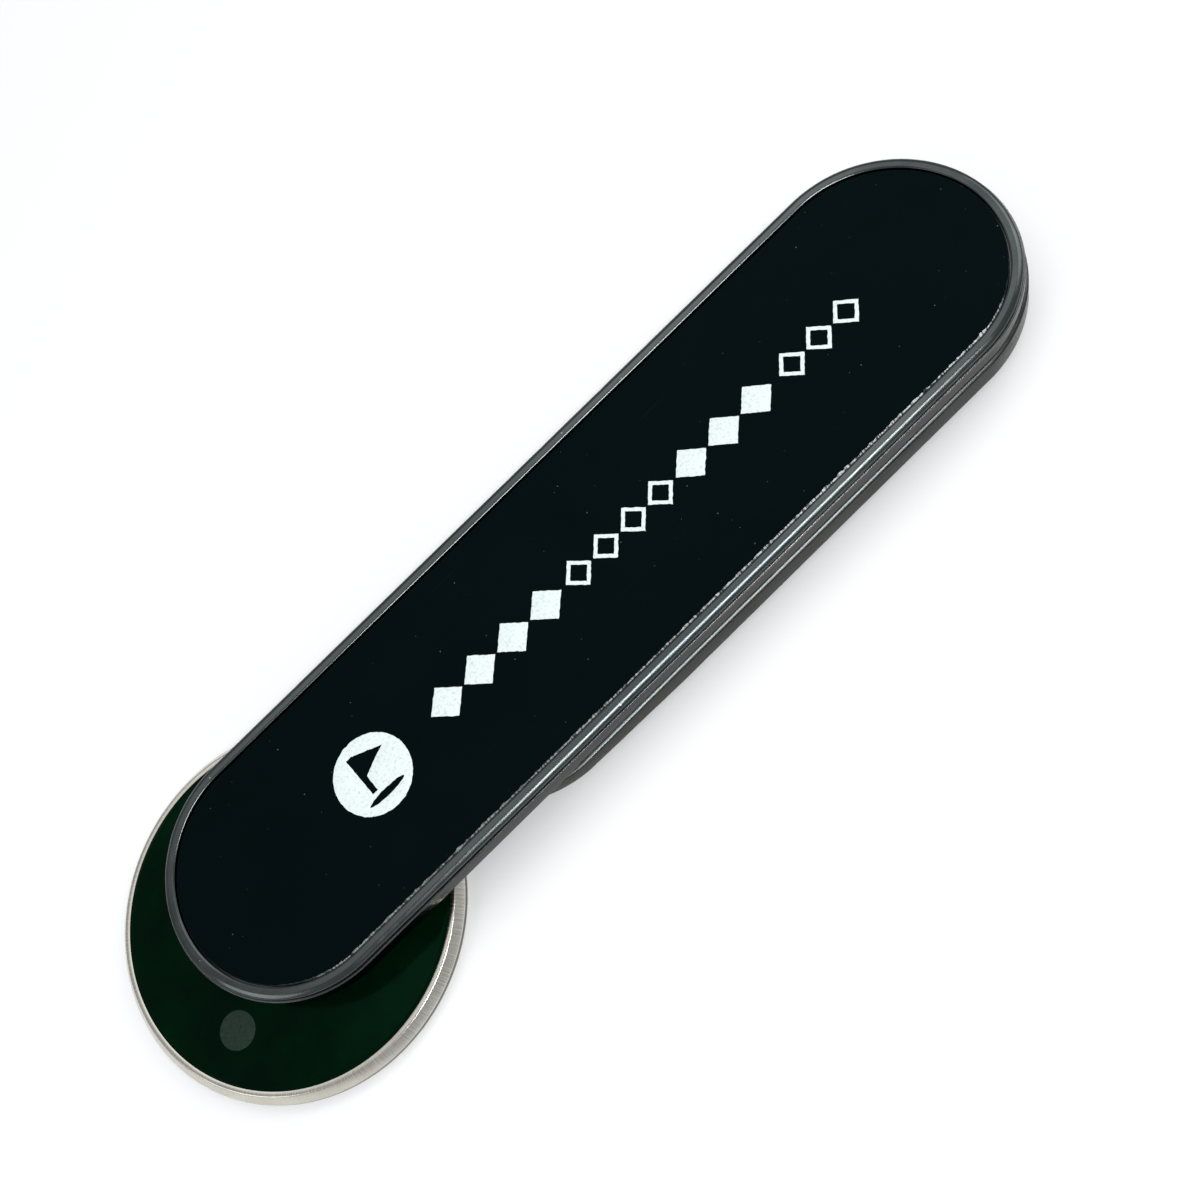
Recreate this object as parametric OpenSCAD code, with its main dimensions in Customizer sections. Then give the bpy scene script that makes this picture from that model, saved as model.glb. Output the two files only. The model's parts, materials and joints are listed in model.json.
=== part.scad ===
// Swivelling divot repair tool with a magnetic ball marker.
// Millimetres, +Z up. The origin is on the fork's swivel axis, at the surface that the folded
// tool rests on. The handle runs along -X from the swivel, and the fork lies folded under it.

/* [Handle] */
// Distance between the centres of the handle's two round ends
handle_span = 54.8; // [54:0.2:57]
// Half of the handle's width, and the radius of its round ends
handle_r = 8.8; // [8.7:0.05:9]
// Height of the top of the rim above the resting surface
handle_top = 4.85; // [4.8:0.05:5]
// Height of the seam between the top shell and the back plate
seam_z = 4.35; // [4.3:0.05:4.4]
// Height of the back plate's underside
plate_z = 3.05; // [3.02:0.01:3.1]
// How far the back plate's side stands out past the rim above it
plate_proud = 0.15; // [0:0.01:0.2]
// Width of the rim around the face panel
rim_w = 0.85; // [0.8:0.05:1]
// Radius of the rim's rounded outer edge
rim_edge_r = 0.4; // [0.3:0.05:0.42]
// Depth of the face panel below the top of the rim
panel_recess = 0.1; // [0.05:0.01:0.15]
// Thickness of the face panel
panel_t = 0.3; // [0.25:0.01:0.32]

/* [Fork] */
// Distance from the swivel axis to the centre of the fork's rounded outline at the tips
fork_span = 36.1; // [34:0.1:36.3]
// Half of the fork's width
fork_r = 9.1; // [9:0.05:9.3]
// Thickness of the fork
fork_t = 2.05; // [1.9:0.05:2.05]
// Height of the fork's underside
fork_z = 0.85; // [0.8:0.01:0.85]
// Width of the slot between the two prongs
slot_w = 6.4; // [5.4:0.1:7]
// Distance from the swivel axis to the middle of the slot's round root
slot_root = 16; // [14:0.5:20]
// Thickness of the prongs at their tips
tip_t = 1.2; // [1:0.1:1.6]

/* [Marker] */
// Diameter of the ball marker at its widest
marker_d = 25; // [24:0.1:25]
// Thickness of the ball marker
marker_t = 1.45; // [1.4:0.01:1.45]
// Distance that the marker's centre lies beyond the centre of the handle's end
marker_out = 2.8; // [2.7:0.1:5]
// Distance that the marker lies off the handle's centre line
marker_side = 0.9; // [0:0.1:1.5]
// Width of the bare metal ring around the enamel
marker_ring = 0.35; // [0.25:0.05:0.6]

/* [Swivel] */
// Radius of the pivot barrel
barrel_r = 2.5; // [2.2:0.1:2.8]
// Radial running clearance of the fork on the barrel
barrel_clearance = 0.06; // [0.03:0.01:0.1]
// Radius of the pivot screw's head
head_r = 3.7; // [3.5:0.1:4]
// Distance from the swivel axis to the stop pin
stop_ring_r = 6; // [5.6:0.1:6.4]
// Radius of the stop pin
stop_pin_r = 0.75; // [0.6:0.05:0.8]
// How far the fork swings out, in degrees
swing = 180; // [90:5:180]

/* [Magnet] */
// Radius of the magnet that holds the ball marker
magnet_r = 4; // [3.5:0.1:4.2]
// Gap between the magnet's boss and the ball marker
magnet_gap = 0.05; // [0.03:0.01:0.1]

/* [Hidden] */
$fn = 96;
// Overlap that joins two shapes of one solid
eps = 0.01;
// How far a cut runs past the face that it opens
past = 1;

// Face panel and its seat
panel_r = handle_r - rim_w;
panel_gap = 0.05;
panel_top = handle_top - panel_recess;
adhesive_t = 0.05;
adhesive_inset = 0.4;
seat_z = panel_top - panel_t - adhesive_t;
// The shell's floor drops into a shallow pocket in the back plate
floor_t = 0.2;
floor_z = seat_z - floor_t;
pocket_r = handle_r - 1.5;
// Fine chamfer along the back plate's and the fork's outer edges
edge_c = 0.12;
plate_r = handle_r + plate_proud;

// Screws that hold the shell to the back plate
screw_x = [-8.5, -27, -45.5];
screw_boss_r = 1.6;
screw_boss_z = 3.75;
screw_web_z = 3.5;
screw_head_r = 1.4;
screw_shank_r = 0.6;
screw_inset = 0.05;
screw_end_z = 4.3;
screw_fit = 0.05;
screw_slot_w = 0.4;
screw_slot_t = 0.2;

// Magnet and its steel cup
magnet_x = -handle_span;
cup_wall = 1;
cup_r = magnet_r + cup_wall;
cup_bottom = marker_t + magnet_gap;
cup_flange_r = cup_r + 0.8;
flange_z = 3.7;
cup_roof_z = 3.5;
magnet_inset = 0.1;
magnet_side_gap = 0.05;

// Swivel
head_t = 0.5;
barrel_flange_r = 3.9;
pivot_shank_r = 1.25;
pivot_shank_top = 3.3;
spanner_hole_r = 0.45;
spanner_hole_x = 2.3;
spanner_hole_t = 0.35;
washer_inner_r = barrel_r + 0.1;
washer_outer_r = head_r - 0.1;
washer_t = 0.14;
washer_low_z = head_t + 0.01;
washer_high_z = fork_z - 0.02;
friction_outer_r = 4.8;
friction_gap = 0.03;
fork_top = fork_z + fork_t;
stop_clearance = 0.1;
groove_t = 1;
groove_z = fork_top - groove_t;
stop_pin_bottom = groove_z + 0.2;
stop_pin_top = 3.9;

// Fork's prongs
slot_r = slot_w / 2;
mouth_start = fork_span - 3.2;
mouth_end = fork_span + 11;
mouth_half = slot_r + 2;
prong_end = fork_span + 7.5;
taper_start = fork_span - 8;

// Ball marker
marker_r = marker_d / 2;
marker_x = -handle_span - marker_out;
marker_y = -marker_side;
bevel_w = 0.5;
ring_r = marker_r - bevel_w;
enamel_r = ring_r - marker_ring;
enamel_t = 0.22;
enamel_top = marker_t - 0.03;
enamel_floor = enamel_top - enamel_t;
waist_low = 0.4;
waist_high = 0.78;
foot_inset = 0.4;
// Flag, pole and ball on the marker's face
ball_r = 1.3;
ball_at = [-7.4, -3.9];
pole_w = 0.6;
pole_foot = [-0.3, -6];
pole_h = 12;
pennant_l = 5.5;
pennant_h = 3.8;

// Solid with round ends: a half section, x from the middle and y up, swept round a stadium
module stadium(span) {
    rotate([0, 0, -90])
        rotate_extrude(angle = 180)
            children();
    translate([-span, 0, 0])
        rotate([0, 0, 90])
            rotate_extrude(angle = 180)
                children();
    for (side = [0, 1])
        mirror([0, side, 0])
            translate([-span, 0, 0])
                rotate([90, 0, 90])
                    linear_extrude(span)
                        children();
}

// Cylinder between two heights
module post(r, low, high) {
    translate([0, 0, low])
        cylinder(r = r, h = high - low);
}

// Half section of a plate with chamfered outer edges
module plate_section(r, low, high, c) {
    polygon([[0, low], [r - c, low], [r, low + c], [r, high - c], [r - c, high], [0, high]]);
}

module top_shell() {
    color("slategray")
        difference() {
            union() {
                stadium(handle_span) {
                    union() {
                        translate([0, floor_z])
                            square([pocket_r, floor_t]);
                        translate([panel_r, seam_z])
                            square([rim_w - rim_edge_r, handle_top - seam_z]);
                        translate([panel_r, seam_z])
                            square([rim_w, handle_top - rim_edge_r - seam_z]);
                        translate([pocket_r - eps, seam_z])
                            square([panel_r - pocket_r + 2 * eps, seat_z - seam_z]);
                        intersection() {
                            translate([handle_r - rim_edge_r, handle_top - rim_edge_r])
                                circle(r = rim_edge_r);
                            translate([panel_r, handle_top - rim_edge_r])
                                square([rim_w, rim_edge_r]);
                        }
                    }
                }
                for (x = screw_x)
                    translate([x, 0, 0])
                        post(screw_boss_r, screw_boss_z, floor_z + floor_t / 2);
            }
            for (x = screw_x)
                translate([x, 0, 0])
                    post(screw_shank_r, screw_boss_z - past, screw_end_z);
        }
}

module face_panel() {
    color("black")
        stadium(handle_span)
            translate([0, panel_top - panel_t])
                square([panel_r - panel_gap, panel_t]);
}

module panel_adhesive() {
    color("gainsboro")
        stadium(handle_span)
            translate([0, seat_z])
                square([panel_r - adhesive_inset, adhesive_t]);
}

module back_plate() {
    color("dimgray")
        difference() {
            stadium(handle_span)
                polygon([
                    [0, plate_z],
                    [plate_r - edge_c, plate_z],
                    [plate_r, plate_z + edge_c],
                    [plate_r, seam_z - edge_c / 2],
                    [plate_r - edge_c / 2, seam_z],
                    [pocket_r, seam_z],
                    [pocket_r, floor_z],
                    [0, floor_z]
                ]);
            post(barrel_r, plate_z - past, floor_z);
            post(barrel_flange_r, flange_z, floor_z + past);
            translate([magnet_x, 0, 0]) {
                post(cup_r, plate_z - past, floor_z);
                post(cup_flange_r, flange_z, floor_z + past);
            }
            for (x = screw_x)
                translate([x, 0, 0]) {
                    post(screw_head_r + screw_fit, plate_z - past, screw_web_z);
                    post(screw_shank_r + screw_fit, plate_z - past, floor_z);
                    post(screw_boss_r + screw_fit, screw_boss_z, floor_z + past);
                }
            translate([0, stop_ring_r, 0])
                post(stop_pin_r, plate_z - past, stop_pin_top);
        }
}

module shell_screws() {
    color("silver")
        for (x = screw_x)
            translate([x, 0, 0])
                difference() {
                    union() {
                        post(screw_head_r, plate_z + screw_inset, screw_web_z);
                        post(screw_shank_r, plate_z + screw_inset, screw_end_z);
                    }
                    translate([-screw_head_r - past, -screw_slot_w / 2, plate_z - past])
                        cube([2 * (screw_head_r + past), screw_slot_w, past + screw_inset + screw_slot_t]);
                }
}

module magnet_cup() {
    color("lightslategray")
        translate([magnet_x, 0, 0])
            rotate_extrude()
                polygon([
                    [magnet_r + magnet_side_gap, cup_bottom],
                    [cup_r - edge_c, cup_bottom],
                    [cup_r, cup_bottom + edge_c],
                    [cup_r, flange_z],
                    [cup_flange_r, flange_z],
                    [cup_flange_r, floor_z],
                    [0, floor_z],
                    [0, cup_roof_z],
                    [magnet_r + magnet_side_gap, cup_roof_z]
                ]);
}

module marker_magnet() {
    color("silver")
        translate([magnet_x, 0, 0])
            post(magnet_r, cup_bottom + magnet_inset, cup_roof_z);
}

module pivot_barrel() {
    color("lightslategray")
        difference() {
            union() {
                post(barrel_r, head_t, floor_z);
                post(barrel_flange_r, flange_z, floor_z);
            }
            post(pivot_shank_r, head_t - past, pivot_shank_top);
        }
}

module pivot_screw() {
    color("silver")
        difference() {
            union() {
                rotate_extrude()
                    polygon([
                        [0, 0],
                        [head_r - 2 * edge_c, 0],
                        [head_r, 2 * edge_c],
                        [head_r, head_t],
                        [0, head_t]
                    ]);
                post(pivot_shank_r, head_t / 2, pivot_shank_top);
            }
            for (side = [-1, 1])
                translate([side * spanner_hole_x, 0, 0])
                    post(spanner_hole_r, -past, spanner_hole_t);
        }
}

module spring_washer() {
    color("gray")
        rotate_extrude()
            polygon([
                [washer_inner_r, washer_high_z - washer_t],
                [washer_outer_r, washer_low_z],
                [washer_outer_r, washer_low_z + washer_t],
                [washer_inner_r, washer_high_z]
            ]);
}

module friction_washer() {
    color("white")
        difference() {
            post(friction_outer_r, fork_top + friction_gap, plate_z);
            post(washer_inner_r, fork_top - past, plate_z + past);
        }
}

module stop_pin() {
    color("silver")
        translate([0, stop_ring_r, 0])
            post(stop_pin_r, stop_pin_bottom, stop_pin_top);
}

// Arc groove in the fork's top face, which the stop pin runs in
module stop_groove() {
    groove_half = stop_pin_r + stop_clearance;
    translate([0, 0, groove_z]) {
        rotate([0, 0, 90 - swing])
            rotate_extrude(angle = swing)
                translate([stop_ring_r - groove_half, 0])
                    square([2 * groove_half, groove_t + past]);
        for (a = [90 - swing, 90])
            rotate([0, 0, a])
                translate([stop_ring_r, 0, 0])
                    cylinder(r = groove_half, h = groove_t + past);
    }
}

// Space between the two prongs, with a mouth that opens towards their tips
module fork_slot() {
    cut_z = fork_z - past;
    cut_t = fork_t + 2 * past;
    translate([-mouth_end, -slot_r, cut_z])
        cube([mouth_end - slot_root, slot_w, cut_t]);
    translate([-slot_root, 0, cut_z])
        cylinder(r = slot_r, h = cut_t);
    translate([0, 0, cut_z])
        linear_extrude(cut_t)
            polygon([
                [-mouth_start, -slot_r],
                [-mouth_end, -mouth_half],
                [-mouth_end, mouth_half],
                [-mouth_start, slot_r]
            ]);
}

// What is ground away at the tips: their points, and a slope along the underside
module tip_grinding() {
    reach = fork_r + past;
    translate([-mouth_end, -reach, fork_z - past])
        cube([mouth_end - prong_end, 2 * reach, fork_t + 2 * past]);
    translate([0, reach, 0])
        rotate([90, 0, 0])
            linear_extrude(2 * reach)
                polygon([
                    [-taper_start, fork_z],
                    [-prong_end - eps, fork_top - tip_t],
                    [-prong_end - eps, fork_z - past],
                    [-taper_start, fork_z - past]
                ]);
}

module fork_blade() {
    color("darkslategray")
        difference() {
            stadium(fork_span)
                plate_section(fork_r, fork_z, fork_top, edge_c);
            fork_slot();
            tip_grinding();
            stop_groove();
            post(barrel_r + barrel_clearance, fork_z - past, fork_top + past);
        }
}

// Flag, pole and ball that stand up through the enamel
module emblem_shape() {
    translate(ball_at)
        circle(r = ball_r);
    translate(pole_foot)
        square([pole_w, pole_h]);
    translate([pole_foot[0], pole_foot[1] + pole_h])
        polygon([[0, 0], [pennant_l, -pennant_h / 2], [0, -pennant_h]]);
}

module marker_base() {
    color("silver")
        translate([marker_x, marker_y, 0])
            union() {
                rotate_extrude()
                    polygon([
                        [0, 0],
                        [marker_r - foot_inset, 0],
                        [marker_r, waist_low],
                        [marker_r, waist_high],
                        [ring_r, marker_t],
                        [enamel_r, marker_t],
                        [enamel_r, enamel_floor],
                        [0, enamel_floor]
                    ]);
                translate([0, 0, enamel_floor - eps])
                    linear_extrude(enamel_top - enamel_floor + eps)
                        emblem_shape();
            }
}

module marker_enamel() {
    color("darkgreen")
        translate([marker_x, marker_y, 0])
            difference() {
                post(enamel_r, enamel_floor, enamel_top);
                translate([0, 0, enamel_floor - past])
                    linear_extrude(2 * past)
                        emblem_shape();
            }
}

top_shell();
face_panel();
panel_adhesive();
back_plate();
shell_screws();
magnet_cup();
marker_magnet();
pivot_barrel();
pivot_screw();
spring_washer();
friction_washer();
stop_pin();
fork_blade();
marker_base();
marker_enamel();
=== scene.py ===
"""Divot repair tool: the looks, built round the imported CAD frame."""
import json
import math

import bmesh
import bpy
from mathutils import Matrix, Vector, noise


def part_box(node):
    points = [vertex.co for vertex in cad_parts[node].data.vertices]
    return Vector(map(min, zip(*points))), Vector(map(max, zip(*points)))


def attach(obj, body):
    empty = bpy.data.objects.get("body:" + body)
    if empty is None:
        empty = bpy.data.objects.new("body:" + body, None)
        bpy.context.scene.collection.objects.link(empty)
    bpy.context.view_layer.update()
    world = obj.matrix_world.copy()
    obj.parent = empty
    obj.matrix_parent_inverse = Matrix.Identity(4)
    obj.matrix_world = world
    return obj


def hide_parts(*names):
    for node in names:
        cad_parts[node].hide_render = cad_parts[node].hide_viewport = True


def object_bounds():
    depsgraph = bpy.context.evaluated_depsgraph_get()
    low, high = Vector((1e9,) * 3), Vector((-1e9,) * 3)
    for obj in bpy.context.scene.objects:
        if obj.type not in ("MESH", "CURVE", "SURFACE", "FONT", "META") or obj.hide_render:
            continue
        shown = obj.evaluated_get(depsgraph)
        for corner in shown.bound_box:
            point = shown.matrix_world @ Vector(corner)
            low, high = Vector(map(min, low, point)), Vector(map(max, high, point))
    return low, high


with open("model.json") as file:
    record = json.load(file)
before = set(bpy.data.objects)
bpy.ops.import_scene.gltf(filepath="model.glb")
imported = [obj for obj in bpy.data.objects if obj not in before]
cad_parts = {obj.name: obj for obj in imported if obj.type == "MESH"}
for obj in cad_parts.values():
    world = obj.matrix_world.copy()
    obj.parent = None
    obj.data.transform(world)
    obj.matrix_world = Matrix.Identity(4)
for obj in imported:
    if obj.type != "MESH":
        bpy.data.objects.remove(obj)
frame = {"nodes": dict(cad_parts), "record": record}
cad_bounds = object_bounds()

MM = 0.001

# ---------------------------------------------------------------- sizes from the frame


def box_mm(node):
    """Lowest and highest corner of a CAD node, in millimetres."""
    return [Vector(corner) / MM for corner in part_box(node)]


SHELL_LOW, SHELL_HIGH = box_mm("top_shell")
PLATE_LOW, PLATE_HIGH = box_mm("back_plate")
PANEL_LOW, PANEL_HIGH = box_mm("face_panel")
ADHESIVE_LOW = box_mm("panel_adhesive")[0]
SCREWS_LOW, SCREWS_HIGH = box_mm("shell_screws")
FORK_LOW, FORK_HIGH = box_mm("fork_blade")
BARREL_HIGH = box_mm("pivot_barrel")[1]
CUP_HIGH = box_mm("magnet_cup")[1]
PIN_LOW, PIN_HIGH = box_mm("stop_pin")
BASE_LOW, BASE_HIGH = box_mm("marker_base")
ENAMEL_LOW, ENAMEL_HIGH = box_mm("marker_enamel")

HANDLE_R = SHELL_HIGH.y
HANDLE_SPAN = -SHELL_LOW.x - HANDLE_R
PANEL_R = PANEL_HIGH.y
SEAM_Z = PLATE_HIGH.z
TOP_Z = SHELL_HIGH.z
FACE_Z = PANEL_HIGH.z
MARKER_AT = (BASE_LOW + BASE_HIGH) / 2
MARKER_R = BASE_HIGH.x - MARKER_AT.x
ENAMEL_R = ENAMEL_HIGH.x - MARKER_AT.x
# Inside of the handle, as the CAD has it: the shell's floor drops into the plate's pocket
FLOOR_Z = ADHESIVE_LOW.z - 0.2
POCKET_W = 1.5
# Flanges of the barrel and the magnet's cup: where they start, and how far they reach out
FLANGE_Z = 3.7
BARREL_FLANGE_W = 1.4
CUP_FLANGE_W = 0.8
# Screws: head, shank and boss, their fit in the plate, and the web under the heads
SCREW_HEAD_R = SCREWS_HIGH.y
SCREW_SHANK_R = SCREW_HEAD_R - 0.8
SCREW_BOSS_R = SCREW_HEAD_R + 0.2
SCREW_FIT = 0.05
SCREW_WEB_Z = 3.5
BOSS_Z = SHELL_LOW.z
SCREW_FIRST_X = SCREWS_LOW.x + SCREW_HEAD_R
SCREW_LAST_X = SCREWS_HIGH.x - SCREW_HEAD_R
SCREW_X = (SCREW_FIRST_X, (SCREW_FIRST_X + SCREW_LAST_X) / 2, SCREW_LAST_X)
# Stop pin, the barrel's hole in the fork, and the ball on the marker
PIN_R = (PIN_HIGH.x - PIN_LOW.x) / 2
PIN_Y = (PIN_LOW.y + PIN_HIGH.y) / 2
BARREL_HOLE_R = 2.56
EMBLEM_BALL_R = 1.3
# Gap round the panel, which sits a little nearer to the near side of its seat
PANEL_GAP = 0.1
PANEL_SHIFT = -0.04
# Thickness of the print above the panel
PRINT_T = 0.014
# Flat ring next to a soft edge, which keeps the shading of the face beside it level
FLAT_RING = 0.02


# ---------------------------------------------------------------- camera, floor and light
CAMERA_AZIMUTH = math.radians(3.92)
CAMERA_ELEVATION = math.radians(65.74)
CAMERA_ROLL = math.radians(40.85)
CAMERA_DISTANCE = 94.27 * MM
CAMERA_LENS = 43.85
SENSOR = 36.0
# Where the camera looks, from the middle of the face panel
AIM_OFFSET = Vector((-1.08, -2.51, 0))
LOOK_AT = (Vector((-HANDLE_SPAN / 2, 0, TOP_Z)) + AIM_OFFSET) * MM
FLOOR_SIZE = 3
FLOOR_GAP = 0.01 * MM


def make_camera():
    """Camera at the photograph's angle: high over the tool's near side, and rolled."""
    cos_a, sin_a = math.cos(CAMERA_AZIMUTH), math.sin(CAMERA_AZIMUTH)
    cos_e, sin_e = math.cos(CAMERA_ELEVATION), math.sin(CAMERA_ELEVATION)
    cos_r, sin_r = math.cos(CAMERA_ROLL), math.sin(CAMERA_ROLL)
    back = Vector((-cos_e * sin_a, -cos_e * cos_a, sin_e))
    right = Vector((cos_a, -sin_a, 0))
    up = Vector((sin_e * sin_a, sin_e * cos_a, cos_e))
    side = right * cos_r - up * sin_r
    top = right * sin_r + up * cos_r
    data = bpy.data.cameras.new("camera")
    data.sensor_width = SENSOR
    data.lens = CAMERA_LENS
    data.clip_start = MM
    camera = bpy.data.objects.new("camera", data)
    turn = Matrix((side, top, back)).transposed().to_4x4()
    camera.matrix_world = Matrix.Translation(LOOK_AT + back * CAMERA_DISTANCE) @ turn
    bpy.context.scene.collection.objects.link(camera)
    bpy.context.scene.camera = camera


def area_light(name, azimuth, elevation, distance, size, power):
    """Softbox that faces the tool. Azimuth 0 is on the near side, and it turns towards +X."""
    a, e = math.radians(azimuth), math.radians(elevation)
    away = Vector((math.sin(a) * math.cos(e), -math.cos(a) * math.cos(e), math.sin(e)))
    data = bpy.data.lights.new(name, "AREA")
    data.shape = "RECTANGLE"
    data.size, data.size_y = size
    data.energy = power
    light = bpy.data.objects.new(name, data)
    light.location = LOOK_AT + away * distance
    light.rotation_euler = away.to_track_quat("Z", "Y").to_euler()
    bpy.context.scene.collection.objects.link(light)


def make_world():
    """Even, slightly cool light from all round."""
    bpy.context.scene.view_settings.view_transform = "Standard"
    world = bpy.data.worlds.new("studio")
    world.use_nodes = True
    background = world.node_tree.nodes["Background"]
    background.inputs["Color"].default_value = (0.93, 0.97, 1.0, 1)
    background.inputs["Strength"].default_value = 0.5
    bpy.context.scene.world = world


def make_floor():
    """Pale, matte floor just below the tool."""
    floor_z = cad_bounds[0][2] - FLOOR_GAP
    bpy.ops.mesh.primitive_plane_add(size=FLOOR_SIZE, location=(LOOK_AT.x, 0, floor_z))
    floor = bpy.context.object
    floor.name = "floor"
    material = bpy.data.materials.new("floor_paper")
    material.use_nodes = True
    shader = material.node_tree.nodes["Principled BSDF"]
    shader.inputs["Base Color"].default_value = (0.9, 0.9, 0.9, 1)
    shader.inputs["Roughness"].default_value = 0.9
    floor.data.materials.append(material)


def make_lights():
    """Soft lights of the photograph: a narrow key from the near side, and broad weaker ones."""
    area_light("key", 12, 62, 0.35, (0.18, 0.045), 0.62)
    area_light("fill_left", -85, 32, 0.4, (0.2, 0.15), 0.2)
    area_light("fill_right", 98, 31, 0.4, (0.26, 0.18), 0.32)
    area_light("overhead_right", 134, 54, 0.45, (0.26, 0.24), 0.13)
    area_light("overhead", 176, 66, 0.45, (0.35, 0.3), 0.26)


# ---------------------------------------------------------------- material building blocks
class Shader:
    """One procedural material on a Principled shader, in the part's own coordinates."""

    def __init__(self, name, colour, metallic=0.0, roughness=0.4, specular=0.5, gloss_tint=(1, 1, 1)):
        self.material = bpy.data.materials.new(name)
        self.material.use_nodes = True
        self.tree = self.material.node_tree
        self.main = self.tree.nodes["Principled BSDF"]
        self.main.inputs["Base Color"].default_value = (*colour, 1)
        self.main.inputs["Metallic"].default_value = metallic
        self.main.inputs["Roughness"].default_value = roughness
        self.main.inputs["Specular IOR Level"].default_value = specular
        self.main.inputs["Specular Tint"].default_value = (*gloss_tint, 1)
        self.place = self.node("ShaderNodeTexCoord").outputs["Object"]

    def node(self, kind, **settings):
        made = self.tree.nodes.new(kind)
        for key, value in settings.items():
            setattr(made, key, value)
        return made

    def link(self, source, target):
        self.tree.links.new(source, target)

    def split(self, vector):
        """X, Y and Z of a vector."""
        made = self.node("ShaderNodeSeparateXYZ")
        self.link(vector, made.inputs[0])
        return made.outputs

    def put(self, value, socket):
        """Links value if it is a socket, or else sets it."""
        if isinstance(value, bpy.types.NodeSocket):
            self.link(value, socket)
        elif socket.type == "RGBA":
            socket.default_value = (*value, 1)
        else:
            socket.default_value = value

    def scaled(self, scale, turn=(0, 0, 0)):
        """The part's own coordinates, turned and scaled."""
        mapping = self.node("ShaderNodeMapping")
        mapping.inputs["Scale"].default_value = scale
        mapping.inputs["Rotation"].default_value = turn
        self.link(self.place, mapping.inputs["Vector"])
        return mapping.outputs["Vector"]

    def noise(self, per_mm, detail=2.0, rough=0.5, turn=(0, 0, 0)):
        """Noise with that many lumps a millimetre along X, Y and Z."""
        per_mm = (per_mm,) * 3 if isinstance(per_mm, (int, float)) else per_mm
        made = self.node("ShaderNodeTexNoise")
        made.inputs["Scale"].default_value = 1
        made.inputs["Detail"].default_value = detail
        made.inputs["Roughness"].default_value = rough
        self.link(self.scaled([p / MM for p in per_mm], turn), made.inputs["Vector"])
        return made.outputs["Fac"]

    def grain_round(self, centre, per_mm, radius_mm):
        """Noise in lines that run outwards from a vertical axis."""
        shift = self.node("ShaderNodeMapping")
        shift.inputs["Location"].default_value = (-centre.x * MM, -centre.y * MM, 0)
        self.link(self.place, shift.inputs["Vector"])
        x, y, _ = self.split(shift.outputs["Vector"])
        angle = self.math("ARCTAN2", y, x)
        made = self.node("ShaderNodeTexNoise", noise_dimensions="1D")
        made.inputs["Scale"].default_value = radius_mm * per_mm
        made.inputs["Detail"].default_value = 4
        self.link(angle, made.inputs["W"])
        return made.outputs["Fac"]

    def ramp(self, value, low, high, out_low=0.0, out_high=1.0):
        """Value, carried from low..high over to out_low..out_high and held at its ends."""
        made = self.node("ShaderNodeMapRange")
        made.clamp = True
        for socket, number in zip(made.inputs[1:5], (low, high, out_low, out_high)):
            socket.default_value = number
        self.link(value, made.inputs["Value"])
        return made.outputs["Result"]

    def math(self, operation, a, b=0.0):
        made = self.node("ShaderNodeMath", operation=operation)
        self.put(a, made.inputs[0])
        self.put(b, made.inputs[1])
        return made.outputs[0]

    def mix(self, share, a, b):
        made = self.node("ShaderNodeMix", data_type="RGBA")
        self.put(share, made.inputs["Factor"])
        self.put(a, made.inputs["A"])
        self.put(b, made.inputs["B"])
        return made.outputs["Result"]

    def bump(self, height, distance_mm, strength=1.0):
        made = self.node("ShaderNodeBump")
        made.inputs["Strength"].default_value = strength
        made.inputs["Distance"].default_value = distance_mm * MM
        self.link(height, made.inputs["Height"])
        self.link(made.outputs["Normal"], self.main.inputs["Normal"])

    def colour(self, source):
        self.link(source, self.main.inputs["Base Color"])

    def roughness(self, source):
        self.link(source, self.main.inputs["Roughness"])

    def along(self, axis, low_mm, high_mm, out_low=0.0, out_high=1.0):
        """Ramp between two places on the part's X, Y or Z axis."""
        return self.ramp(self.split(self.place)[axis], low_mm * MM, high_mm * MM, out_low, out_high)

    def levelness(self):
        """1 on level faces, and 0 on upright ones."""
        normal = self.node("ShaderNodeNewGeometry").outputs["Normal"]
        return self.math("ABSOLUTE", self.split(normal)["Z"])

    def specks(self, cells_per_mm, radius_mm, share, flat=False):
        """Small round specks in a share of the cells, 1 in the brightest. Flat ones suit a level face."""
        made = self.node("ShaderNodeTexVoronoi", voronoi_dimensions="2D" if flat else "3D")
        made.inputs["Scale"].default_value = 1
        self.link(self.scaled([cells_per_mm / MM] * 3), made.inputs["Vector"])
        pick = self.node("ShaderNodeSeparateColor")
        self.link(made.outputs["Color"], pick.inputs[0])
        radius = radius_mm * cells_per_mm
        solid_share = 0.6
        inside = self.ramp(made.outputs["Distance"], radius * solid_share, radius, 1, 0)
        chosen = self.math("LESS_THAN", pick.outputs["Red"], share)
        bright = self.math("MULTIPLY", inside, pick.outputs["Green"])
        return self.math("MULTIPLY", bright, chosen)


# ---------------------------------------------------------------- materials
# Dark plating reflects less at a glancing angle than clean metal does
DIM_EDGE = (0.84, 0.84, 0.82)


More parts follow.
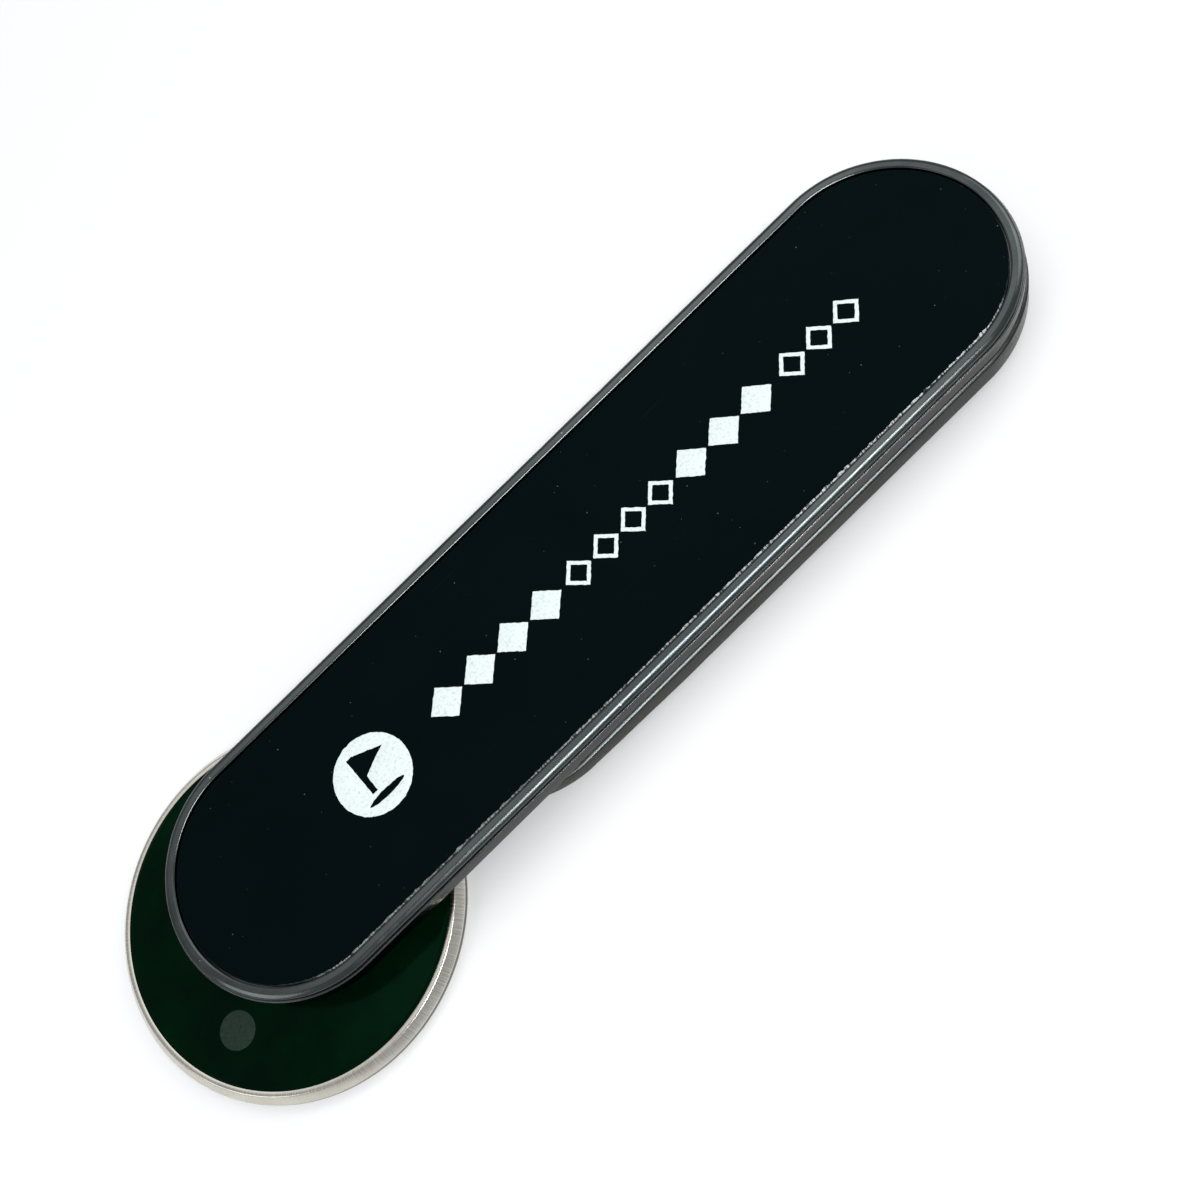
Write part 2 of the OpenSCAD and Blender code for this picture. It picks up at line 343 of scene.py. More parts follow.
def gunmetal():
    """Satin black-nickel plating: drifting tint, tiny bright nicks, worn metal along the seam with a
    painted highlight there, and painted shade on the upright faces below the seam.
    """
    dark, light = (0.054, 0.064, 0.066), (0.086, 0.093, 0.092)
    nick_colour, rub_and_sheen_colour = (0.40, 0.41, 0.41), (0.19, 0.19, 0.183)
    # Painted shade for the upright faces below the seam
    shaded_side_colour = (0.006, 0.007, 0.007)
    s = Shader("gunmetal", dark, metallic=1.0, roughness=0.24, gloss_tint=DIM_EDGE)
    drift = s.noise((0.05, 0.4, 1.5), detail=3, rough=0.6)
    tint = s.mix(s.ramp(drift, 0.3, 0.7), dark, light)
    nicks = s.specks(1.3, 0.06, 0.16)
    tint = s.mix(nicks, tint, nick_colour)
    # Seam band: worn metal with a painted highlight along it, which grows brighter towards the swivel
    above = s.along("Z", SEAM_Z - 0.14, SEAM_Z - 0.05)
    below = s.along("Z", SEAM_Z + 0.01, SEAM_Z + 0.06, 1, 0)
    sheen_towards_swivel = s.along("X", -26, -14, 0.15, 1)
    rub_and_sheen = s.ramp(s.noise((0.3, 0.3, 1), detail=3, rough=0.6), 0.35, 0.65)
    rub_and_sheen = s.math("MULTIPLY", rub_and_sheen, sheen_towards_swivel)
    seam = s.math("MULTIPLY", s.math("MULTIPLY", above, below), rub_and_sheen)
    tint = s.mix(seam, tint, rub_and_sheen_colour)
    # Painted shade: upright faces just below the seam are darkened towards the shaded side colour
    side_shade = s.along("Z", SEAM_Z - 0.22, SEAM_Z - 0.1, 0.62, 0)
    side_shade = s.math("MULTIPLY", side_shade, s.ramp(s.levelness(), 0.5, 0.9, 1, 0))
    s.colour(s.mix(side_shade, tint, shaded_side_colour))
    s.roughness(s.ramp(s.noise(1.3, detail=4, rough=0.65), 0.3, 0.7, 0.15, 0.24))
    s.bump(s.noise((0.5, 4, 4), detail=2, rough=0.5), 0.002, 0.06)
    return s.material


def fork_gunmetal():
    """The fork's plating: brushed along its length on top, with painted shade that turns the sides and
    the edge facets much darker.
    """
    s = Shader("fork_gunmetal", (0.07, 0.08, 0.08), metallic=1.0, roughness=0.26, gloss_tint=DIM_EDGE)
    lines = s.noise((0.25, 9, 1.5), detail=4, rough=0.65)
    line_share = s.ramp(lines, 0.3, 0.7)
    face = s.mix(line_share, (0.058, 0.067, 0.068), (0.108, 0.115, 0.113))
    drift = s.noise((0.08, 0.3, 1.0), detail=3, rough=0.6)
    # Painted shade: upright faces and edge facets take this much darker colour instead of the top's,
    # through the levelness mask below
    side = s.mix(s.ramp(drift, 0.3, 0.7), (0.008, 0.011, 0.011), (0.017, 0.017, 0.015))
    flat = s.ramp(s.levelness(), 0.55, 1.05)
    nicks, nick_colour = s.specks(1.3, 0.06, 0.3), (0.34, 0.35, 0.35)
    s.colour(s.mix(nicks, s.mix(flat, side, face), nick_colour))
    s.roughness(s.ramp(lines, 0.3, 0.7, 0.2, 0.34))
    s.bump(lines, 0.003, 0.3)
    return s.material


def brushed(name, dark, light, per_mm, rough):
    """Plated steel with brush marks along the direction where per_mm is small."""
    s = Shader(name, dark, metallic=1.0, roughness=rough)
    lines = s.noise(per_mm, detail=4, rough=0.7)
    s.colour(s.mix(s.ramp(lines, 0.3, 0.7), dark, light))
    s.roughness(s.ramp(lines, 0.3, 0.7, rough * 0.8, rough * 1.25))
    s.bump(lines, 0.006, 0.4)
    return s.material


def panel_black():
    """Black satin lacquer with smudges, dust and faint scuffs."""
    s = Shader("panel_black", (0.0008, 0.0022, 0.0026), roughness=0.42, specular=0.038,
               gloss_tint=(0.4, 0.95, 1.0))
    dust = s.math("ADD", s.specks(0.31, 0.05, 0.3, True), s.specks(0.9, 0.03, 0.09, True))
    scuffs = s.noise((0.05, 6, 0), turn=(0, 0, 0.6))
    dust = s.math("ADD", dust, s.ramp(scuffs, 0.735, 0.76, 0, 0.12))
    haze = s.ramp(s.noise(0.12, detail=3), 0.35, 0.7, 0, 0.35)
    base = s.mix(haze, (0.0006, 0.0018, 0.0021), (0.0014, 0.0034, 0.0038))
    dust_colour = (0.13, 0.15, 0.145)
    s.colour(s.mix(s.math("MULTIPLY", dust, 0.8), base, dust_colour))
    s.roughness(s.ramp(s.noise(0.35, detail=5, rough=0.7), 0.3, 0.7, 0.36, 0.5))
    s.bump(s.noise(3.0, detail=3), 0.002, 0.3)
    return s.material


def cut_edge():
    """Sawn edge of the panel: dark, with painted glints on its chipped cut along the near side, brighter
    towards the swivel.
    """
    s = Shader("cut_edge", (0.02, 0.025, 0.025), roughness=0.25, specular=0.5)
    # Painted glints: the chipped cut takes a bright colour only on the near side, and more of it towards
    # the swivel
    chips_and_glints = s.ramp(s.noise((5.5, 1.5, 1), detail=6, rough=0.8), 0.44, 0.54)
    near = s.along("Y", -7.7, -7.0, 1, 0)
    glints_towards_swivel = s.along("X", -40, -16, 0.4, 1)
    share = s.math("MULTIPLY", s.math("MULTIPLY", chips_and_glints, near), glints_towards_swivel)
    sawn_colour, glint_colour = (0.01, 0.015, 0.016), (0.66, 0.69, 0.69)
    s.colour(s.mix(share, sawn_colour, glint_colour))
    s.roughness(s.ramp(chips_and_glints, 0, 1, 0.3, 0.18))
    return s.material


def print_white():
    """White ink, slightly thin in places."""
    s = Shader("print_white", (0.8, 0.86, 0.85), roughness=0.5, specular=0.3)
    thin = s.ramp(s.noise(5, detail=5, rough=0.75), 0.3, 0.5)
    s.colour(s.mix(thin, (0.52, 0.57, 0.57), (0.76, 0.83, 0.82)))
    s.roughness(s.ramp(s.noise(9, detail=2), 0.3, 0.7, 0.42, 0.58))
    s.bump(s.noise(9, detail=2), 0.002, 0.3)
    return s.material


def enamel_green():
    """Deep green hard enamel under a clear polish."""
    s = Shader("enamel_green", (0.0006, 0.008, 0.0025), roughness=0.12, specular=0.06,
               gloss_tint=(0.2, 1.0, 0.55))
    cloud = s.ramp(s.noise(0.25, detail=4, rough=0.6), 0.3, 0.7)
    base = s.mix(cloud, (0.0005, 0.0034, 0.0019), (0.0005, 0.0084, 0.0022))
    specks, speck_colour = s.specks(0.7, 0.03, 0.3), (0.06, 0.10, 0.07)
    s.colour(s.mix(specks, base, speck_colour))
    s.roughness(s.ramp(s.noise(0.6, detail=4), 0.3, 0.7, 0.08, 0.16))
    s.bump(s.noise(0.8, detail=2), 0.004, 0.25)
    return s.material


def coin_nickel():
    """Bright nickel of the marker: grinding lines across its bevel, and painted shade on its upright
    side.
    """
    s = Shader("marker_nickel", (0.6, 0.56, 0.5), metallic=1.0, roughness=0.22)
    lines = s.grain_round(MARKER_AT, 8, MARKER_R)
    fresh = s.mix(s.ramp(lines, 0.35, 0.65), (0.58, 0.55, 0.485), (0.67, 0.64, 0.57))
    smudge = s.ramp(s.noise(0.6, detail=4, rough=0.65), 0.3, 0.7, 0.0, 0.35)
    smudge_colour, shaded_side_colour = (0.36, 0.33, 0.28), (0.11, 0.11, 0.11)
    fresh = s.mix(smudge, fresh, smudge_colour)
    # Painted shade: the upright side is darkened to the shaded side colour
    side = s.ramp(s.levelness(), 0.2, 0.45, 1, 0)
    s.colour(s.mix(side, fresh, shaded_side_colour))
    s.roughness(s.ramp(lines, 0.3, 0.7, 0.18, 0.28))
    s.bump(lines, 0.004, 0.35)
    return s.material


def plastic(name, dark, light, rough):
    """Dull plastic or film with a faint mottle."""
    s = Shader(name, dark, roughness=rough)
    s.colour(s.mix(s.ramp(s.noise(1.5, detail=4), 0.3, 0.7), dark, light))
    s.roughness(s.ramp(s.noise(4, detail=3), 0.3, 0.7, rough * 0.85, rough * 1.15))
    s.bump(s.noise(6, detail=2), 0.003, 0.3)
    return s.material


MATERIALS = {
    "gunmetal": gunmetal(),
    "fork_gunmetal": fork_gunmetal(),
    "panel_black": panel_black(),
    "enamel_green": enamel_green(),
    "steel": brushed("steel", (0.40, 0.41, 0.42), (0.56, 0.56, 0.56), (3, 3, 3), 0.3),
    "cup_steel": brushed("cup_steel", (0.34, 0.35, 0.36), (0.48, 0.48, 0.48), (2, 2, 8), 0.32),
    "spring_steel": brushed("spring_steel", (0.22, 0.22, 0.23), (0.33, 0.33, 0.33), (5, 5, 5), 0.3),
    "magnet_nickel": brushed("magnet_nickel", (0.62, 0.61, 0.58), (0.74, 0.72, 0.69), (2, 2, 2), 0.15),
    "marker_nickel": coin_nickel(),
    "cut_edge": cut_edge(),
    "print_white": print_white(),
    "emblem_nickel": brushed(
        "emblem_nickel", (0.02, 0.034, 0.027), (0.038, 0.06, 0.049), (6, 6, 6), 0.5
    ),
    "adhesive": plastic("adhesive", (0.62, 0.60, 0.55), (0.74, 0.72, 0.67), 0.5),
    "nylon": plastic("nylon", (0.68, 0.66, 0.60), (0.78, 0.76, 0.71), 0.45),
}


def dress_cad_nodes():
    """Gives each carried-over CAD node the procedural material of its slot."""
    slots = {part["node"]: part["material_slot"] for part in frame["record"]["subparts"]}
    for name, node in frame["nodes"].items():
        for place in node.material_slots:
            place.material = MATERIALS[slots[name]]


# ---------------------------------------------------------------- mesh building blocks
class Mesh:
    """Closed mesh made of walls that follow an outline, and of flat caps. In millimetres."""

    def __init__(self):
        self.bm = bmesh.new()

    def wall(self, outline, profile, vary=None, slots=()):
        """Rings of the outline, each moved inwards and to a height by one (inset, z) pair.

        The solid lies to the left of the outline. A vary function may change the pair at each
        point, and the bands named in slots take the second material. Returns the first and the
        last ring.
        """
        count = len(outline)
        points = [Vector(p) for p in outline]
        inwards = []
        for i, point in enumerate(points):
            before = (point - points[i - 1]).normalized()
            after = (points[(i + 1) % count] - point).normalized()
            normal = Vector((-before.y - after.y, before.x + after.x)).normalized()
            inwards.append(normal / max(normal.dot(Vector((-after.y, after.x))), 0.5))
        rings = []
        for k, (inset, z) in enumerate(profile):
            ring = []
            for i, point in enumerate(points):
                step, height = vary(k, point, inset, z) if vary else (inset, z)
                place = point + inwards[i] * step
                ring.append(self.bm.verts.new((place.x, place.y, height)))
            rings.append(ring)
        for k, (low, high) in enumerate(zip(rings, rings[1:])):
            for i in range(count):
                j = (i + 1) % count
                face = self.bm.faces.new((low[i], low[j], high[j], high[i]))
                face.material_index = 1 if k in slots else 0
        return rings[0], rings[-1]

    def cap(self, *rings):
        """Flat face that fills the first ring, apart from the holes that the others make."""
        edges = []
        for ring in rings:
            for a, b in zip(ring, ring[1:] + ring[:1]):
                edges.append(self.bm.edges.get((a, b)) or self.bm.edges.new((a, b)))
        bmesh.ops.triangle_fill(self.bm, use_beauty=True, edges=edges)

    def bore(self, x, y, steps, sides):
        """Stepped upright hole, from (radius, z) pairs. Returns its first and its last ring."""
        first = steps[0][0]
        profile = [(radius - first, z) for radius, z in steps]
        return self.wall(circle(x, y, first, sides)[::-1], profile)

    def make(self, name, body, nodes, materials, sharp=35):
        """Turns the mesh into a piece that rides on a body and stands for CAD nodes.

        Materials names entries of MATERIALS.
        """
        bmesh.ops.recalc_face_normals(self.bm, faces=self.bm.faces)
        bmesh.ops.scale(self.bm, vec=(MM, MM, MM), verts=self.bm.verts)
        data = bpy.data.meshes.new(name)
        self.bm.to_mesh(data)
        self.bm.free()
        data.shade_smooth()
        data.set_sharp_from_angle(angle=math.radians(sharp))
        for material in materials:
            data.materials.append(MATERIALS[material])
        piece = bpy.data.objects.new(name, data)
        bpy.context.scene.collection.objects.link(piece)
        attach(piece, body)
        if nodes:
            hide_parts(*nodes)


def arc(x, y, radius, start, end, steps):
    """Points of an arc, with its angles in degrees."""
    turns = [math.radians(start + (end - start) * i / steps) for i in range(steps + 1)]
    return [(x + radius * math.cos(t), y + radius * math.sin(t)) for t in turns]


def circle(x, y, radius, steps=64):
    return arc(x, y, radius, 0, 360, steps)[:-1]


def subdivide(points, longest):
    """Splits each side that is longer than longest."""
    out = []
    for a, b in zip(points, points[1:] + points[:1]):
        parts = max(1, math.ceil(math.dist(a, b) / longest))
        step = ((b[0] - a[0]) / parts, (b[1] - a[1]) / parts)
        out += [(a[0] + step[0] * i, a[1] + step[1] * i) for i in range(parts)]
    return out


def rounded(corners, steps=8):
    """Outline with each (x, y, radius) corner rounded."""
    out = []
    count = len(corners)
    for i, (x, y, radius) in enumerate(corners):
        here = Vector((x, y))
        to_last = (Vector(corners[i - 1][:2]) - here).normalized()
        to_next = (Vector(corners[(i + 1) % count][:2]) - here).normalized()
        if radius == 0:
            out.append((x, y))
            continue
        half = to_last.angle(to_next) / 2
        middle = here + (to_last + to_next).normalized() * (radius / math.sin(half))
        first = here + to_last * (radius / math.tan(half)) - middle
        last = here + to_next * (radius / math.tan(half)) - middle
        turn = first.angle_signed(last)
        for k in range(steps + 1):
            spot = first.copy()
            spot.rotate(Matrix.Rotation(-turn * k / steps, 2))
            out.append(tuple(middle + spot))
    return out


def stadium(radius, longest=0.5):
    """Outline of the handle at some radius, anticlockwise from its near side."""
    right = arc(0, 0, radius, -90, 90, 72)
    left = arc(-HANDLE_SPAN, 0, radius, 90, 270, 72)
    return subdivide(right + left, longest)


def soft_edge(facet, top_r, side_r, steps=4):
    """Edge worn to a narrow, slightly crowned facet, as (inset, drop) from the outer wall up.

    Its slope grows from level through the facet, 18 to 31 degrees, to upright.
    """
    spans = [(top_r, 0, 18), (facet, 18, 31), (side_r, 31, 90)]
    inset, drop, points = 0.0, 0.0, [(0.0, 0.0)]
    for radius, start, end in spans:
        count = steps * 2 if radius == side_r else steps
        turns = [math.radians(start + (end - start) * i / count) for i in range(count + 1)]
        for a, b in zip(turns, turns[1:]):
            inset += radius * (math.sin(b) - math.sin(a))
            drop += radius * (math.cos(a) - math.cos(b))
            points.append((inset, drop))
    return [(inset - x, y) for x, y in reversed(points)]


def slab_side(soft, low, high):
    """Side of a slab with soft edges, as (inset, z) pairs from its underside to its top."""
    flat = soft[-1][0] + FLAT_RING
    below = [(flat, low)] + [(inset, low + drop) for inset, drop in reversed(soft)]
    return below + [(inset, high - drop) for inset, drop in soft] + [(flat, high)]


def edge(radius, inset, z, start, end, steps=5):
    """Rounded edge as (inset, z) pairs. Angle 0 points outwards and 90 points up."""
    return [(inset - dx, z + dz) for dx, dz in arc(0, 0, radius, start, end, steps)]


def ripple(x, y, per_mm, seed=0.0):
    """Smooth noise from about -1 to 1."""
    return noise.noise(Vector((x * per_mm, y * per_mm, seed)))


def clamp(value):
    """The value, kept between 0 and 1."""
    return min(1.0, max(0.0, value))


# ---------------------------------------------------------------- handle
def cap_with_bosses(mesh, bottom):
    """Underside of the shell's floor, with a boss round each blind screw hole."""
    width = SCREW_BOSS_R - SCREW_SHANK_R
    boss = [(0, FLOOR_Z), (0, BOSS_Z), (width, BOSS_Z), (width, SCREWS_HIGH.z)]
    feet = []
    for x in SCREW_X:
        foot, hole = mesh.wall(circle(x, 0, SCREW_BOSS_R, 32), boss)
        mesh.cap(hole)
        feet.append(foot)
    mesh.cap(bottom, *feet)


def make_rim_shell():
    """Top shell: a rim with a broad worn edge outside and a narrow one inside, and a soft seam."""
    seam_r, seam_flat, seam_gap = 0.08, 0.03, 0.004
    nose = soft_edge(1.1, 0.1, 0.23)
    lip = soft_edge(0.45, 0.05, 0.06)
    nose_w, lip_w = nose[-1][0], lip[-1][0]
    rim_w, rim_low = HANDLE_R - PANEL_R - PANEL_GAP, SEAM_Z + seam_gap
    profile = [(POCKET_W, FLOOR_Z), (POCKET_W, rim_low), (seam_r + seam_flat, rim_low)]
    profile += edge(seam_r, seam_r, rim_low + seam_r, -90, 0)
    profile += [(inset, TOP_Z - drop) for inset, drop in nose]
    profile += [(nose_w + FLAT_RING, TOP_Z), (rim_w - lip_w - FLAT_RING, TOP_Z)]
    profile += [(rim_w - inset, TOP_Z - drop) for inset, drop in reversed(lip)]
    profile += [(rim_w, ADHESIVE_LOW.z)]
    wave_depth, waves_per_mm = 0.006, 0.35
    dent_depth, dents_per_mm, dent_from, dent_seed = 0.05, 0.9, 0.35, 7.0

    def vary(k, point, inset, z):
        """Slight waves and a few shallow dents in the polished rim."""
        wave = 0.5 + 0.5 * ripple(point.x, point.y, waves_per_mm)
        dent = max(0.0, ripple(point.x, point.y, dents_per_mm, dent_seed) - dent_from)
        near_top = clamp((z - SEAM_Z) / nose_w)
        near_edge = clamp(1 - inset / nose_w)
        depth = (wave_depth * wave + dent_depth * dent) * near_top * near_edge
        return inset + depth, z - depth / 2

    mesh = Mesh()
    bottom, top = mesh.wall(stadium(HANDLE_R, 0.4), profile, vary)
    mesh.cap(top)
    cap_with_bosses(mesh, bottom)
    mesh.make("rim_shell", "handle", ["top_shell"], ["gunmetal"])


def plate_bores(low):
    """Bores through the back plate for the screws, the barrel and the cup, as (x, steps)."""
    head, shank, boss = [r + SCREW_FIT for r in (SCREW_HEAD_R, SCREW_SHANK_R, SCREW_BOSS_R)]
    screw = [(head, low), (head, SCREW_WEB_Z), (shank, SCREW_WEB_Z), (shank, BOSS_Z)]
    screw += [(boss, BOSS_Z), (boss, FLOOR_Z)]
    bores = [(x, screw) for x in SCREW_X]
    barrel = (0, BARREL_HIGH.x, BARREL_FLANGE_W)
    cup = (-HANDLE_SPAN, CUP_HIGH.y, CUP_FLANGE_W)
    for x, flange_r, flange_w in (barrel, cup):
        inner_r = flange_r - flange_w
        steps = [(inner_r, low), (inner_r, FLANGE_Z), (flange_r, FLANGE_Z), (flange_r, FLOOR_Z)]
        bores.append((x, steps))
    return bores


def make_plate():
    """Back plate: soft edges round a side that stands a little proud of the rim."""
    low, radius = PLATE_LOW.z, PLATE_HIGH.y
    pocket = radius - HANDLE_R + POCKET_W
    profile = slab_side(soft_edge(0.09, 0.05, 0.09), low, SEAM_Z)
    profile += [(pocket, SEAM_Z), (pocket, FLOOR_Z)]
    wave_depth, waves_per_mm, wave_rise, wave_seed = 0.008, 0.3, 3, 9.0

    def vary(k, point, inset, z):
        """Side that is not quite flat."""
        wave = 0.5 + 0.5 * ripple(point.x, point.y + wave_rise * z, waves_per_mm, wave_seed)
        return inset + wave_depth * wave, z

    mesh = Mesh()
    bottom, top = mesh.wall(stadium(radius, 0.4), profile, vary)
    low_rings, high_rings = [bottom], [top]
    for x, steps in plate_bores(low):
        foot, mouth = mesh.bore(x, 0, steps, 48)
        low_rings.append(foot)
        high_rings.append(mouth)
    foot, roof = mesh.bore(0, PIN_Y, [(PIN_R, low), (PIN_R, PIN_HIGH.z)], 32)
    low_rings.append(foot)
    mesh.cap(roof)
    mesh.cap(*low_rings)
    mesh.cap(*high_rings)
    mesh.make("plate_body", "handle", ["back_plate"], ["gunmetal"])


def make_panel():
    """Face panel with a cut edge that is chipped along the near side."""
    cut_w, cut_ring, foot_r = 0.05, 3, 0.03
    chip_drop, chip_inset = 0.05, 0.12
    near_from, near_full = 0.55, 0.9

    def vary(k, point, inset, z):
        """Chips in the cut and in the face beside it, which fade out round the ends."""
        if k < cut_ring or point.y > 0:
            return inset, z
        coarse, fine = ripple(point.x, point.y, 2.2, 1.0), ripple(point.x, point.y, 5.5, 2.0)
        chip = abs(coarse) + 0.7 * abs(fine)
        chip *= clamp((-point.y / PANEL_R - near_from) / (near_full - near_from))
        if k == cut_ring:
            return inset, z - chip_drop * chip
        return inset + chip_inset * chip, z

    profile = [(foot_r * 2, PANEL_LOW.z), (foot_r, PANEL_LOW.z), (0, PANEL_LOW.z + foot_r)]
    profile += [(0, FACE_Z - cut_w), (cut_w, FACE_Z), (cut_w + 0.03, FACE_Z), (0.4, FACE_Z)]
    mesh = Mesh()
    outline = [(x, y + PANEL_SHIFT) for x, y in stadium(PANEL_R, 0.14)]
    bottom, top = mesh.wall(outline, profile, vary, slots=(cut_ring,))
    mesh.cap(bottom)
    mesh.cap(top)
    materials = ["panel_black", "cut_edge"]
    mesh.make("black_panel", "handle", ["face_panel"], materials, sharp=25)


def print_shape(mesh, outer, *holes):
    """One raised shape of the panel's print, with slightly ragged edges."""
    ragged, sunk, rounding = 0.045, 0.006, 0.012

    def vary(k, point, inset, z):
        return inset + ragged * ripple(point.x, point.y, 3.5, 3.0), z

    profile = [(0, FACE_Z - sunk), (0, FACE_Z + PRINT_T * 0.6), (rounding, FACE_Z + PRINT_T)]
    walls = [mesh.wall(subdivide(outline, 0.12), profile, vary) for outline in (outer, *holes)]
    mesh.cap(*[low for low, high in walls])
    mesh.cap(*[high for low, high in walls])


def diamond(x, half_w, half_h):
    return [(x - half_w, 0), (x, -half_h), (x + half_w, 0), (x, half_h)]


def badge_outlines(x, radius):
    """Round badge, and the flag and the green that are left out of it."""
    pole, pole_w = x - 0.6, 0.22
    flag = [(pole - pole_w, -1.05), (pole + pole_w, -1.05), (pole + pole_w, 0.2)]
    flag += [(pole + 2.25, 1.1), (pole + pole_w, 2.0), (pole - pole_w, 2.0)]
    green = [(x + 1.5 * across, -1.6 + 0.26 * up) for across, up in circle(0, 0, 1, 24)]
    return circle(x, 0, radius, 72), flag[::-1], green[::-1]


def make_print():
    """Generic print in place of the maker's: a flag badge and a band of argyle diamonds."""
    mesh = Mesh()
    print_shape(mesh, *badge_outlines(-46.9, 2.8))
    for x in (-40.2, -37.2, -34.2, -31.2, -17.9, -14.9, -11.9):
        print_shape(mesh, diamond(x, 1.4, 1.35))
    for x in (-28.2, -25.7, -23.2, -20.7, -8.6, -6.1, -3.6):
        print_shape(mesh, diamond(x, 1.15, 1.2), diamond(x, 0.78, 0.82)[::-1])
    mesh.make("panel_print", "handle", [], ["print_white"])


# ---------------------------------------------------------------- fork
FORK_END = -FORK_LOW.x
# The sides curve in to the tips over TIP_SPAN. The grinding takes GROUND_SPAN and leaves TIP_T
TIP_SPAN = 7.5
GROUND_SPAN = 15.5
TIP_T = 1.2


def fork_outline():
    """Outline with a round end, and two tines whose slot widens at its mouth."""
    radius, span = FORK_HIGH.y, FORK_END - TIP_SPAN
    slot_r, root_x, tip_r = 3.2, 16.0, 0.3
    mouth_x, mouth_slope, mouth_r = span - 3.2, 2 / 14.2, 6
    mouth_y = slot_r + mouth_slope * (FORK_END - mouth_x)
    tip_angle = 90 + math.degrees(math.asin(TIP_SPAN / radius))
    side = arc(-span, 0, radius, 90, tip_angle, 18)
    tip_x, tip_y = side[-1]
    corners = [(x, y, 0) for x, y in arc(0, 0, radius, -90, 90, 80) + side[:-1]]
    corners += [(tip_x, tip_y, tip_r), (-FORK_END, mouth_y, tip_r), (-mouth_x, slot_r, mouth_r)]
    corners += [(x, y, 0) for x, y in arc(-root_x, 0, slot_r, 90, -90, 40)]
    corners += [(-mouth_x, -slot_r, mouth_r), (-FORK_END, -mouth_y, tip_r), (tip_x, -tip_y, tip_r)]
    corners += [(x, -y, 0) for x, y in side[-2::-1]][:-1]
    return subdivide(rounded(corners), 0.8)


def groove_outline():
    """Half ring round the swivel, for the stop pin to run in."""
    half = PIN_R + 0.1
    outline = arc(0, 0, PIN_Y + half, -90, 90, 48) + arc(0, PIN_Y, half, 90, 270, 16)[1:]
    outline += arc(0, 0, PIN_Y - half, 90, -90, 48)[1:]
    return outline + arc(0, -PIN_Y, half, 90, 270, 16)[1:-1]


def grind_tips(mesh, low, high):
    """Thins the tines from below, more and more towards the tips."""
    full, start = high - low, (GROUND_SPAN - FORK_END, 0, 0)
    everything = [*mesh.bm.verts, *mesh.bm.edges, *mesh.bm.faces]
    bmesh.ops.bisect_plane(mesh.bm, geom=everything, plane_co=start, plane_no=(1, 0, 0))
    for vert in mesh.bm.verts:
        ground = clamp((start[0] - vert.co.x) / GROUND_SPAN)
        thickness = full - (full - TIP_T) * ground
        vert.co.z = high - (high - vert.co.z) * thickness / full


def make_fork():
    """Fork: rounded edges, ground tips that thin from below, and the stop pin's groove."""
    low, high = FORK_LOW.z, FORK_HIGH.z
    profile = slab_side(soft_edge(0.8, 0.04, 0.09), low, high)
    tip_share, share_per_mm, wave_depth = 0.5, 0.12, 0.004

    def vary(k, point, inset, z):
        """Edges that get finer towards the tips, round a side that is not quite flat."""
        share = min(1.0, tip_share + share_per_mm * max(0.0, point.x + FORK_END))
        base = low if z < (low + high) / 2 else high
        wave = wave_depth * ripple(point.x, point.y, 0.5, 5.0)
        return inset * share + wave, base + (z - base) * share

    hole_soft, groove_depth = 0.08, 1.0
    hole_side = [(hole_soft, low), (0, low + hole_soft), (0, high - hole_soft), (hole_soft, high)]
    mesh = Mesh()
    bottom, top = mesh.wall(fork_outline(), profile, vary)
    hole_low, hole_high = mesh.wall(circle(0, 0, BARREL_HOLE_R)[::-1], hole_side)
    groove_side = [(0, high - groove_depth), (0, high)]
    groove_low, groove_high = mesh.wall(groove_outline()[::-1], groove_side)
    mesh.cap(groove_low)
    mesh.cap(bottom, hole_low)
    mesh.cap(top, hole_high, groove_high)
    grind_tips(mesh, low, high)
    mesh.make("ground_fork", "fork", ["fork_blade"], ["fork_gunmetal"])


# ---------------------------------------------------------------- ball marker
# The enamel and the emblem start a hair above the coin's recess
RECESS_Z = ENAMEL_LOW.z + 0.001


def emblem_outlines():
    """Ball, and flag on its pole, as the CAD marker has them."""
    x, y = MARKER_AT.x, MARKER_AT.y
    ball = circle(x - 7.4, y - 3.9, EMBLEM_BALL_R, 40)
    left, foot, top = x - 0.3, y - 6, y + 6
    pole_w, flag_w, flag_h, meets_up = 0.6, 5.5, 3.8, 0.42
    flag = [(left, foot, 0.1), (left + pole_w, foot, 0.1)]
    flag += [(left + pole_w, top - flag_h + meets_up, 0.1)]
    flag += [(left + flag_w, top - flag_h / 2, 0.2), (left, top, 0.1)]
    return ball, rounded(flag, 4)


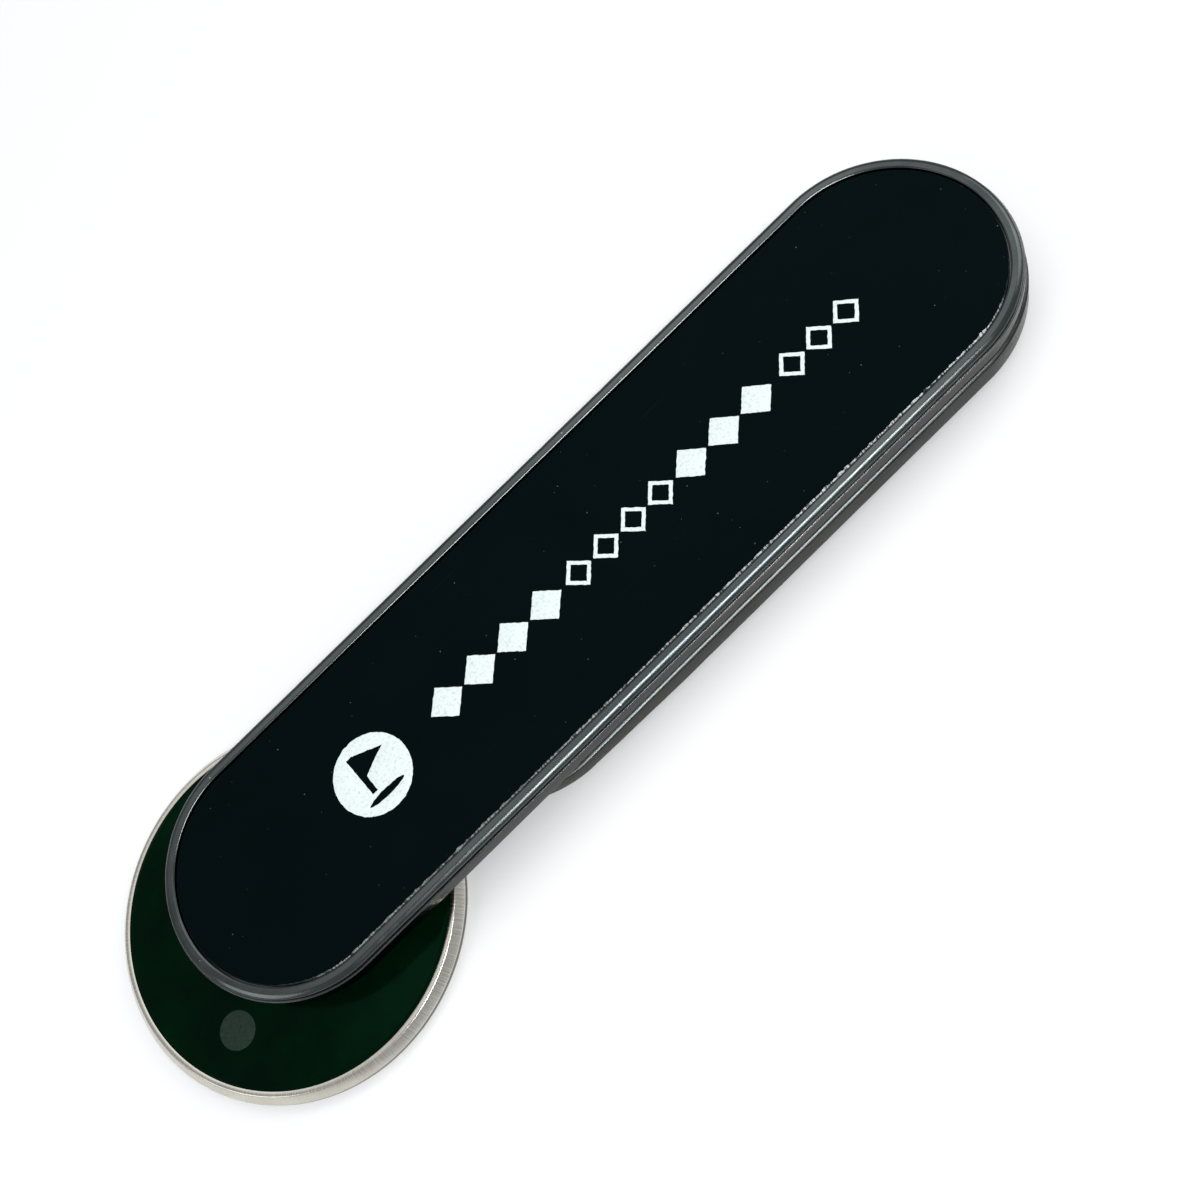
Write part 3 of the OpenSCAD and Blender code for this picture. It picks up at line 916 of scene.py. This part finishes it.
def make_coin():
    """Nickel of the ball marker: bevels above and below a narrow upright side, and a ring on top."""
    top, foot = BASE_HIGH.z, BASE_LOW.z
    bevel_w, side_low, side_high, foot_inset = 0.5, 0.4, 0.78, 0.4
    ring_w = MARKER_R - ENAMEL_R
    profile = [(foot_inset + 0.1, foot), (foot_inset + 0.05, foot), (foot_inset - 0.02, foot + 0.03)]
    profile += [(0.05, side_low - 0.05), (0.01, side_low), (0, side_low + 0.05)]
    profile += [(0, side_high - 0.06), (0.01, side_high), (0.05, side_high + 0.06)]
    profile += [(bevel_w - 0.05, top - 0.06), (bevel_w - 0.01, top - 0.02), (bevel_w + 0.05, top)]
    profile += [(ring_w - 0.06, top), (ring_w - 0.02, top - 0.015), (ring_w, top - 0.06)]
    profile += [(ring_w, ENAMEL_LOW.z)]
    mesh = Mesh()
    low, high = mesh.wall(circle(MARKER_AT.x, MARKER_AT.y, MARKER_R, 160), profile)
    mesh.cap(low)
    mesh.cap(high)
    mesh.make("marker_coin", "marker", ["marker_base"], ["marker_nickel"])


def make_emblem():
    """Flag and ball that stand through the enamel, with crowned edges."""
    crown = [(0, -0.03), (0.02, -0.005), (0.06, 0.004), (0.09, 0.005)]
    profile = [(0, RECESS_Z)] + [(inset, ENAMEL_HIGH.z + up) for inset, up in crown]
    mesh = Mesh()
    for outline in emblem_outlines():
        low, high = mesh.wall(outline, profile)
        mesh.cap(low)
        mesh.cap(high)
    mesh.make("marker_emblem", "marker", [], ["emblem_nickel"])


def dish(depth):
    """Enamel's side and edge as (inset, z) pairs: its edge draws down against the metal."""
    gap = 0.004
    sag = [(0, 1), (0.05, 0.8), (0.14, 0.25), (0.28, 0.03), (0.45, 0)]
    return [(gap, RECESS_Z)] + [(gap + inset, ENAMEL_HIGH.z - depth * share) for inset, share in sag]


def make_enamel():
    """Enamel of the ball marker, with openings for the flag and the ball."""
    mesh = Mesh()
    rings = [mesh.wall(circle(MARKER_AT.x, MARKER_AT.y, ENAMEL_R, 160), dish(0.05))]
    for outline in emblem_outlines():
        rings.append(mesh.wall(outline[::-1], dish(0.008)))
    mesh.cap(*[low for low, high in rings])
    mesh.cap(*[high for low, high in rings])
    mesh.make("marker_enamel_fill", "marker", ["marker_enamel"], ["enamel_green"])


make_camera()
make_world()
make_floor()
make_lights()
dress_cad_nodes()
make_rim_shell()
make_plate()
make_panel()
make_print()
make_fork()
make_coin()
make_emblem()
make_enamel()
